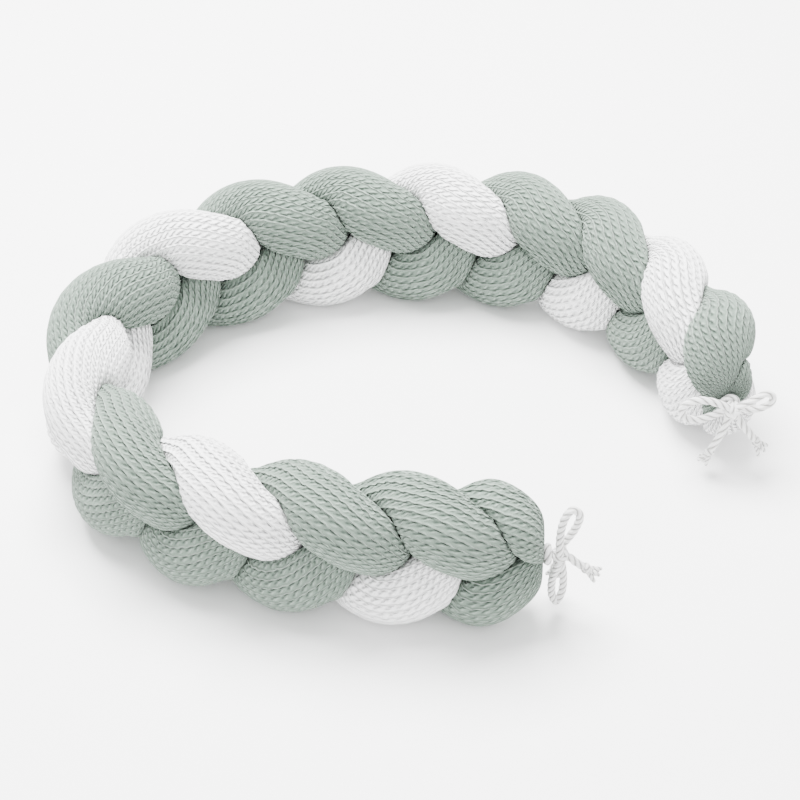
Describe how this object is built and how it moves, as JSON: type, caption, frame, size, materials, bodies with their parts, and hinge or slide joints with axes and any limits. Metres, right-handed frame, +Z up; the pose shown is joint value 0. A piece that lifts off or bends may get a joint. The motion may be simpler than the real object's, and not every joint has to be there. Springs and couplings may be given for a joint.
{
  "type": "braided crib bumper",
  "caption": "Braided crib bumper of stuffed knit tubes in sage and white, standing on edge in a C, each end gathered and tied with a cord bow.",
  "frame": {"origin": "on the surface it stands on, under the middle of the plait's box, the free cords left out", "axes": "+X along the C's longest side, towards its open end; +Y away from the front, towards the far arm; +Z up"},
  "size_m": [0.7005, 0.5477, 0.156],
  "materials": {
    "sage_knit": "matt ribbed knit jersey, sage green",
    "white_knit": "matt ribbed knit jersey, off-white",
    "cord": "matt braided cotton cord, off-white"
  },
  "bodies": {
    "root": {"strand_inner_1_sage": "sage_knit", "strand_inner_2_white": "white_knit", "strand_inner_3_sage": "sage_knit", "strand_middle_1_sage": "sage_knit", "strand_middle_2_white": "white_knit", "strand_outer_1_sage": "sage_knit", "strand_outer_2_white": "white_knit", "strand_outer_3_sage": "sage_knit", "strand_outer_4_white": "white_knit", "strand_outer_5_sage": "sage_knit", "tie_far_knot": "cord", "tie_far_loop_left": "cord", "tie_far_loop_right": "cord", "tie_far_tail_left": "cord", "tie_far_tail_left_tuft": "cord", "tie_far_tail_right": "cord", "tie_far_tail_right_tuft": "cord", "tie_far_turn": "cord", "tie_near_knot": "cord", "tie_near_loop_lower": "cord", "tie_near_loop_upper": "cord", "tie_near_tail_back": "cord", "tie_near_tail_back_tuft": "cord", "tie_near_tail_front": "cord", "tie_near_tail_front_tuft": "cord", "tie_near_turn": "cord"}
  },
  "joints": []
}
